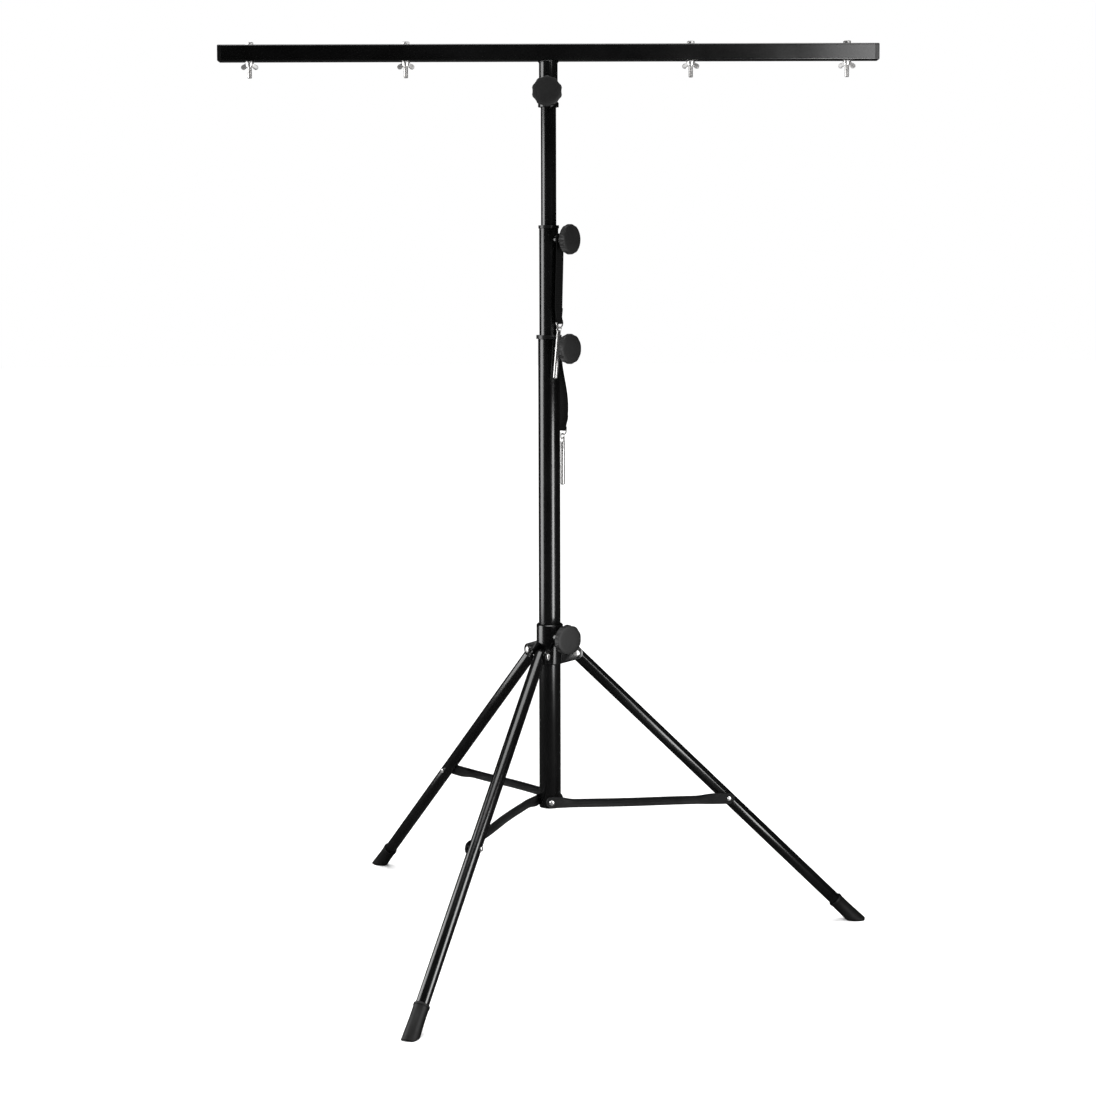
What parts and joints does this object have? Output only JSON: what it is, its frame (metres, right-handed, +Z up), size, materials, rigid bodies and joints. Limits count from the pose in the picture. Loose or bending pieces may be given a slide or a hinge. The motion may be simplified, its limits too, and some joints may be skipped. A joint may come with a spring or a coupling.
{
  "type": "telescopic light stand",
  "caption": "Telescopic lighting stand with a folding tripod base, star-knob clamps, tethered safety pins and a T-bar with lamp bolts.",
  "frame": {"origin": "on the floor, on the mast's axis", "axes": "+Z up along the mast, +X along the first leg; the T-bar is turned 7.5 degrees clockwise from X"},
  "size_m": [1.1996, 1.0496, 1.6463],
  "materials": {
    "black_coat": "satin black powder coat",
    "black_plastic": "black moulded plastic",
    "knob_plastic": "dark grey moulded plastic",
    "rubber": "matte black rubber",
    "zinc": "bright zinc plating",
    "webbing": "black woven webbing"
  },
  "bodies": {
    "mast": {"base_tube": "black_coat", "base_plug": "black_plastic", "stage_1_lip": "black_plastic", "stage_1_boss": "black_coat", "brace_bolt_1": "zinc", "brace_bolt_2": "zinc", "brace_bolt_3": "zinc", "tether_strap_2": "webbing", "tether_ring_2": "zinc"},
    "stage_1_lock": {"stage_1_screw": "zinc", "stage_1_knob": "knob_plastic"},
    "stage_2": {"stage_2_tube": "black_coat", "stage_2_lip": "black_plastic", "stage_2_guide": "black_plastic", "stage_2_boss": "black_coat", "tether_strap_1": "webbing", "tether_ring_1": "zinc"},
    "stage_2_lock": {"stage_2_screw": "zinc", "stage_2_knob": "knob_plastic"},
    "stage_3": {"stage_3_tube": "black_coat", "stage_3_guide": "black_plastic"},
    "t_head": {"t_socket": "black_coat", "socket_boss": "black_coat", "t_bar": "black_coat", "bar_cap_left": "black_plastic", "bar_cap_right": "black_plastic", "hex_bolt_1": "zinc", "hex_bolt_2": "zinc", "hex_bolt_3": "zinc", "hex_bolt_4": "zinc"},
    "socket_lock": {"socket_screw": "zinc", "socket_knob": "knob_plastic"},
    "collar": {"leg_collar": "black_coat", "collar_liner": "black_plastic", "leg_pivot_1": "zinc", "leg_pivot_2": "zinc", "leg_pivot_3": "zinc"},
    "collar_lock": {"collar_screw": "zinc", "collar_knob": "knob_plastic"},
    "hanging_pin_1": {"safety_pin_1": "zinc", "tether_link_1": "zinc"},
    "hanging_pin_2": {"safety_pin_2": "zinc", "tether_link_2": "zinc"},
    "bar_nut_1": {"wing_nut_1": "zinc"},
    "bar_nut_2": {"wing_nut_2": "zinc"},
    "bar_nut_3": {"wing_nut_3": "zinc"},
    "bar_nut_4": {"wing_nut_4": "zinc"},
    "leg_1": {"leg_tube_1": "black_coat", "foot_1": "rubber"},
    "brace_arm_1": {"brace_1": "black_coat", "brace_rivet_1": "zinc"},
    "leg_2": {"leg_tube_2": "black_coat", "foot_2": "rubber"},
    "brace_arm_2": {"brace_2": "black_coat", "brace_rivet_2": "zinc"},
    "leg_3": {"leg_tube_3": "black_coat", "foot_3": "rubber"},
    "brace_arm_3": {"brace_3": "black_coat", "brace_rivet_3": "zinc"}
  },
  "joints": [
    {"name": "stage_2_slide", "type": "slide", "parent": "mast", "child": "stage_2", "axis": [0, 0, 1], "range_m": [0, 0.58]},
    {"name": "stage_3_slide", "type": "slide", "parent": "stage_2", "child": "stage_3", "axis": [0, 0, 1], "range_m": [-0.205, 0.55]},
    {"name": "t_bar_turn", "type": "hinge", "parent": "stage_3", "child": "t_head", "pos_m": [0, 0, 1.55], "axis": [0, 0, 1], "continuous": true},
    {"name": "socket_knob_turn", "type": "hinge", "parent": "t_head", "child": "socket_lock", "pos_m": [-0.00729, -0.03933, 1.5524], "axis": [-0.1822, -0.9833, 0], "range_deg": [0, 720]},
    {"name": "stage_2_knob_turn", "type": "hinge", "parent": "stage_2", "child": "stage_2_lock", "pos_m": [0.02892, -0.02763, 1.2874], "axis": [0.723, -0.6909, 0], "range_deg": [0, 720]},
    {"name": "stage_1_knob_turn", "type": "hinge", "parent": "mast", "child": "stage_1_lock", "pos_m": [0.02619, -0.03023, 1.0888], "axis": [0.6547, -0.7559, 0], "range_deg": [0, 720]},
    {"name": "collar_slide", "type": "slide", "parent": "mast", "child": "collar", "axis": [0, 0, 1], "range_m": [0, 0.45]},
    {"name": "collar_knob_turn", "type": "hinge", "parent": "collar", "child": "collar_lock", "pos_m": [0.02, -0.03464, 0.5574], "axis": [0.5, -0.866, 0], "range_deg": [0, 720]},
    {"name": "wing_nut_1_turn", "type": "hinge", "parent": "t_head", "child": "bar_nut_1", "pos_m": [-0.53836, 0.07088, 1.606], "axis": [0, 0, -1], "range_deg": [0, 1080]},
    {"name": "wing_nut_2_turn", "type": "hinge", "parent": "t_head", "child": "bar_nut_2", "pos_m": [-0.25678, 0.03381, 1.606], "axis": [0, 0, -1], "range_deg": [0, 1080]},
    {"name": "wing_nut_3_turn", "type": "hinge", "parent": "t_head", "child": "bar_nut_3", "pos_m": [0.25678, -0.03381, 1.606], "axis": [0, 0, -1], "range_deg": [0, 1080]},
    {"name": "wing_nut_4_turn", "type": "hinge", "parent": "t_head", "child": "bar_nut_4", "pos_m": [0.53836, -0.07088, 1.606], "axis": [0, 0, -1], "range_deg": [0, 1080]},
    {"name": "leg_1_fold", "type": "hinge", "parent": "collar", "child": "leg_1", "pos_m": [0.0475, 0, 0.527], "axis": [0, 1, 0], "range_deg": [0, 39.98]},
    {"name": "brace_1_fold", "type": "hinge", "parent": "mast", "child": "brace_arm_1", "pos_m": [0, 0, 0.2505], "axis": [0, -1, 0], "range_deg": [0, 75.98]},
    {"name": "leg_2_fold", "type": "hinge", "parent": "collar", "child": "leg_2", "pos_m": [-0.02375, 0.04114, 0.527], "axis": [-0.866, -0.5, 0], "range_deg": [0, 39.98]},
    {"name": "brace_2_fold", "type": "hinge", "parent": "mast", "child": "brace_arm_2", "pos_m": [0, 0, 0.2505], "axis": [0.866, 0.5, 0], "range_deg": [0, 75.98]},
    {"name": "leg_3_fold", "type": "hinge", "parent": "collar", "child": "leg_3", "pos_m": [-0.02375, -0.04114, 0.527], "axis": [0.866, -0.5, 0], "range_deg": [0, 39.98]},
    {"name": "brace_3_fold", "type": "hinge", "parent": "mast", "child": "brace_arm_3", "pos_m": [0, 0, 0.2505], "axis": [-0.866, 0.5, 0], "range_deg": [0, 75.98]},
    {"name": "pin_1_swing", "type": "hinge", "parent": "stage_2", "child": "hanging_pin_1", "pos_m": [0.01634, -0.02378, 1.1365], "axis": [0.723, -0.6909, 0], "range_deg": [-50, 0]},
    {"name": "pin_2_swing", "type": "hinge", "parent": "mast", "child": "hanging_pin_2", "pos_m": [0.02796, 0.02346, 0.9385], "axis": [0.766, 0.6428, 0], "range_deg": [-60, 60]}
  ],
  "couplings": [
    {"joint": "leg_1_fold", "follows": "collar_slide", "rad_per_m": 1.5507},
    {"joint": "brace_1_fold", "follows": "collar_slide", "rad_per_m": 2.947},
    {"joint": "leg_2_fold", "follows": "collar_slide", "rad_per_m": 1.5507},
    {"joint": "brace_2_fold", "follows": "collar_slide", "rad_per_m": 2.947},
    {"joint": "leg_3_fold", "follows": "collar_slide", "rad_per_m": 1.5507},
    {"joint": "brace_3_fold", "follows": "collar_slide", "rad_per_m": 2.947}
  ]
}
